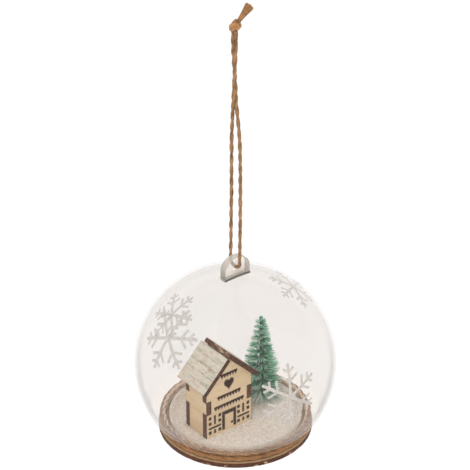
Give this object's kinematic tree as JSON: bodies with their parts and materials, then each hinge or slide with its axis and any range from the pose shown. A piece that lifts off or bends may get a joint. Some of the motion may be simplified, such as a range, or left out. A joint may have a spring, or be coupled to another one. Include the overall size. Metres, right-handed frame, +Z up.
{
  "type": "hanging snow globe ornament",
  "caption": "Hanging snow globe: clear ball with a moulded tab and a jute loop, closed by a plywood base that carries a laser-cut house, a bottle-brush tree and snow.",
  "frame": {"origin": "hanging point, where the loop's two strands come together under the knot", "axes": "+Z up along the loop; the house and the hanging tab face -Y; +X to the right, towards the tree"},
  "size_m": [0.08, 0.08, 0.1802],
  "materials": {
    "clear_shell": "clear, polished, with printed white flakes",
    "base_plywood": "bare plywood with a laser-burnt edge",
    "rim_jute": "twisted jute twine",
    "snow": "fine white granules",
    "wall_plywood": "bare plywood with laser-burnt edges",
    "roof_plywood": "grey-washed plywood with laser-burnt edges",
    "tree_wire": "dark twisted wire",
    "tree_bristle": "fine green bristles",
    "jute": "twisted jute twine with loose fibres"
  },
  "bodies": {
    "hanger": {"cord_front": "jute", "cord_back": "jute", "hang_knot": "jute", "tail_long": "jute", "tail_short": "jute"},
    "globe": {"globe": "clear_shell", "base_disc": "base_plywood", "rim_cord": "rim_jute", "snow_bed": "snow", "wall_front": "wall_plywood", "wall_back": "wall_plywood", "wall_left": "wall_plywood", "wall_right": "wall_plywood", "roof_left": "roof_plywood", "roof_right": "roof_plywood", "tree_wire": "tree_wire", "tree_bristles": "tree_bristle"}
  },
  "joints": [
    {"name": "globe_swing", "type": "hinge", "parent": "hanger", "child": "globe", "pos_m": [0, 0, -0.069], "axis": [0, 1, 0], "range_deg": [-105, 105]}
  ]
}
